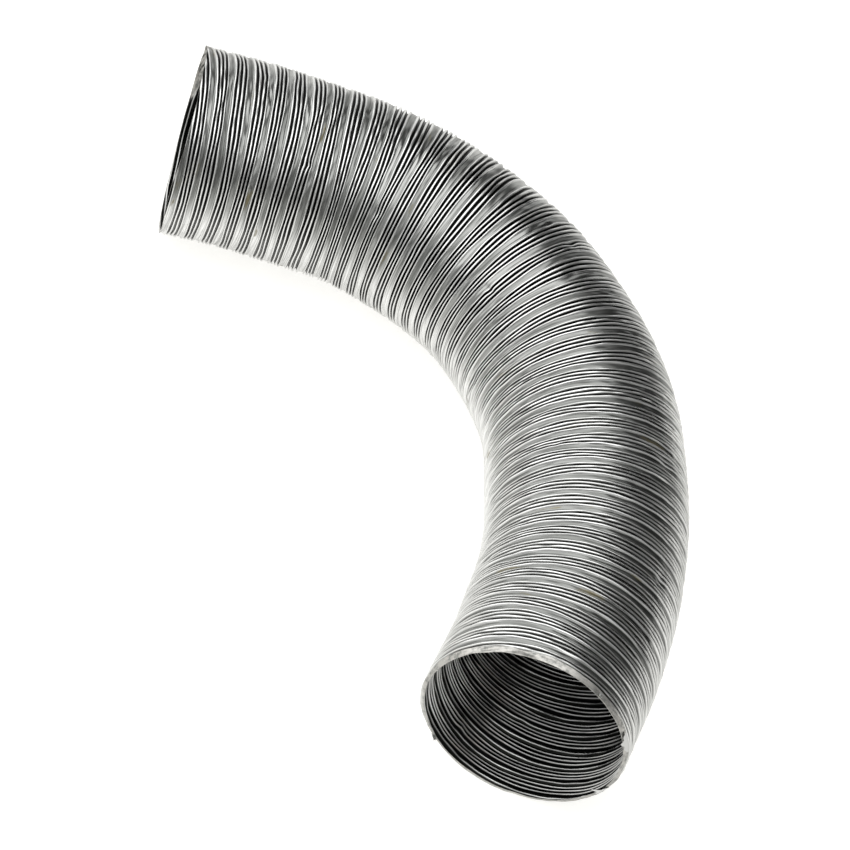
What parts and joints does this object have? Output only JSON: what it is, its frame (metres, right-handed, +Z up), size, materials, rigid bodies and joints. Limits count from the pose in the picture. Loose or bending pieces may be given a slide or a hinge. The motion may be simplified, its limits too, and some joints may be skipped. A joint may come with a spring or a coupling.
{
  "type": "flexible air duct",
  "caption": "Bare semi-rigid corrugated aluminium duct, bent into an arc, with both ends cut off square. It bends, lifts and stretches, and slides over a round spigot.",
  "frame": {"origin": "middle of the footprint, on the surface that the duct lies on", "axes": "+Z up; the near end faces -Y, and the duct curves away from it to the far end, which faces -X and 18 degrees towards -Y"},
  "size_m": [0.2188, 0.2038, 0.063],
  "materials": {
    "aluminium_foil": "bare corrugated foil, bright on the ridges and dull in the grooves, lightly scratched"
  },
  "bodies": {
    "far_end": {"far_end_turns": "aluminium_foil", "fold_01": "aluminium_foil"},
    "section_02": {"turns_02": "aluminium_foil", "fold_02": "aluminium_foil"},
    "section_03": {"turns_03": "aluminium_foil", "fold_03": "aluminium_foil"},
    "section_04": {"turns_04": "aluminium_foil", "fold_04": "aluminium_foil"},
    "section_05": {"turns_05": "aluminium_foil", "fold_05": "aluminium_foil"},
    "section_06": {"turns_06": "aluminium_foil", "fold_06": "aluminium_foil"},
    "section_07": {"turns_07": "aluminium_foil", "fold_07": "aluminium_foil"},
    "section_08": {"turns_08": "aluminium_foil", "fold_08": "aluminium_foil"},
    "section_09": {"turns_09": "aluminium_foil", "fold_09": "aluminium_foil"},
    "section_10": {"turns_10": "aluminium_foil", "fold_10": "aluminium_foil"},
    "section_11": {"turns_11": "aluminium_foil", "fold_11": "aluminium_foil"},
    "section_12": {"turns_12": "aluminium_foil", "fold_12": "aluminium_foil"},
    "section_13": {"turns_13": "aluminium_foil", "fold_13": "aluminium_foil"},
    "section_14": {"turns_14": "aluminium_foil", "fold_14": "aluminium_foil"},
    "section_15": {"turns_15": "aluminium_foil", "fold_15": "aluminium_foil"},
    "section_16": {"turns_16": "aluminium_foil", "fold_16": "aluminium_foil"},
    "section_17": {"turns_17": "aluminium_foil", "fold_17": "aluminium_foil"},
    "section_18": {"turns_18": "aluminium_foil", "fold_18": "aluminium_foil"},
    "section_19": {"turns_19": "aluminium_foil", "fold_19": "aluminium_foil"},
    "section_20": {"turns_20": "aluminium_foil", "fold_20": "aluminium_foil"},
    "section_21": {"turns_21": "aluminium_foil", "fold_21": "aluminium_foil"},
    "near_end": {"near_end_turns": "aluminium_foil"}
  },
  "joints": [
    {"name": "stretch_01", "type": "slide", "parent": "far_end", "child": "section_02", "axis": [0.9621, 0.2726, 0], "range_m": [0, 0.014], "deforming": ["fold_01"]},
    {"name": "lift_02", "type": "hinge", "parent": "section_02", "child": "section_03", "pos_m": [-0.07347, 0.06423, 0.0315], "axis": [0.2358, -0.9718, 0], "range_deg": [0, 7], "deforming": ["fold_02"]},
    {"name": "bend_03", "type": "hinge", "parent": "section_03", "child": "section_04", "pos_m": [-0.06016, 0.06719, 0.0315], "axis": [0.001, 0, -1], "range_deg": [-7.7, 5], "deforming": ["fold_03"]},
    {"name": "bend_04", "type": "hinge", "parent": "section_04", "child": "section_05", "pos_m": [-0.04674, 0.06957, 0.0315], "axis": [0.001, 0, -1], "range_deg": [-7.7, 5], "deforming": ["fold_04"]},
    {"name": "bend_05", "type": "hinge", "parent": "section_05", "child": "section_06", "pos_m": [-0.03314, 0.07044, 0.0315], "axis": [0.001, 0, -1], "range_deg": [-7.7, 5], "deforming": ["fold_05"]},
    {"name": "bend_06", "type": "hinge", "parent": "section_06", "child": "section_07", "pos_m": [-0.01954, 0.06949, 0.0315], "axis": [0.001, 0, -1], "range_deg": [-7.7, 5], "deforming": ["fold_06"]},
    {"name": "bend_07", "type": "hinge", "parent": "section_07", "child": "section_08", "pos_m": [-0.0062, 0.06675, 0.0315], "axis": [0.001, 0, -1], "range_deg": [-7.7, 5], "deforming": ["fold_07"]},
    {"name": "bend_08", "type": "hinge", "parent": "section_08", "child": "section_09", "pos_m": [0.00667, 0.06226, 0.0315], "axis": [0.001, 0, -1], "range_deg": [-7.7, 5], "deforming": ["fold_08"]},
    {"name": "bend_09", "type": "hinge", "parent": "section_09", "child": "section_10", "pos_m": [0.01883, 0.0561, 0.0315], "axis": [0.001, 0, -1], "range_deg": [-7.7, 5], "deforming": ["fold_09"]},
    {"name": "bend_10", "type": "hinge", "parent": "section_10", "child": "section_11", "pos_m": [0.03006, 0.04839, 0.0315], "axis": [0.001, 0, -1], "range_deg": [-7.7, 5], "deforming": ["fold_10"]},
    {"name": "bend_11", "type": "hinge", "parent": "section_11", "child": "section_12", "pos_m": [0.04017, 0.03925, 0.0315], "axis": [0.001, 0, -1], "range_deg": [-7.7, 5], "deforming": ["fold_11"]},
    {"name": "bend_12", "type": "hinge", "parent": "section_12", "child": "section_13", "pos_m": [0.04897, 0.02885, 0.0315], "axis": [0.001, 0, -1], "range_deg": [-7.7, 5], "deforming": ["fold_12"]},
    {"name": "bend_13", "type": "hinge", "parent": "section_13", "child": "section_14", "pos_m": [0.05632, 0.01738, 0.0315], "axis": [0.001, 0, -1], "range_deg": [-7.7, 5], "deforming": ["fold_13"]},
    {"name": "lift_14", "type": "hinge", "parent": "section_14", "child": "section_15", "pos_m": [0.06216, 0.00506, 0.0315], "axis": [-0.9217, -0.3878, 0], "range_deg": [0, 7], "deforming": ["fold_14"]},
    {"name": "bend_15", "type": "hinge", "parent": "section_15", "child": "section_16", "pos_m": [0.06702, -0.00768, 0.0315], "axis": [0.001, 0, -1], "range_deg": [-7.7, 5], "deforming": ["fold_15"]},
    {"name": "stretch_16", "type": "slide", "parent": "section_16", "child": "section_17", "axis": [0.26, -0.9656, 0], "range_m": [0, 0.014], "deforming": ["fold_16"]},
    {"name": "bend_17", "type": "hinge", "parent": "section_17", "child": "section_18", "pos_m": [0.0741, -0.03399, 0.0315], "axis": [0.001, 0, -1], "range_deg": [-7.7, 5], "deforming": ["fold_17"]},
    {"name": "lift_18", "type": "hinge", "parent": "section_18", "child": "section_19", "pos_m": [0.0763, -0.04745, 0.0315], "axis": [-0.9919, -0.1274, 0], "range_deg": [0, 7], "deforming": ["fold_18"]},
    {"name": "bend_19", "type": "hinge", "parent": "section_19", "child": "section_20", "pos_m": [0.07758, -0.06102, 0.0315], "axis": [0.001, 0, -1], "range_deg": [-7.7, 5], "deforming": ["fold_19"]},
    {"name": "stretch_20", "type": "slide", "parent": "section_20", "child": "section_21", "axis": [-0.0076, -1, 0], "range_m": [0, 0.014], "deforming": ["fold_20"]},
    {"name": "lift_21", "type": "hinge", "parent": "section_21", "child": "near_end", "pos_m": [0.07751, -0.08828, 0.0315], "axis": [-0.9996, 0.0297, 0], "range_deg": [0, 7], "deforming": ["fold_21"]}
  ]
}
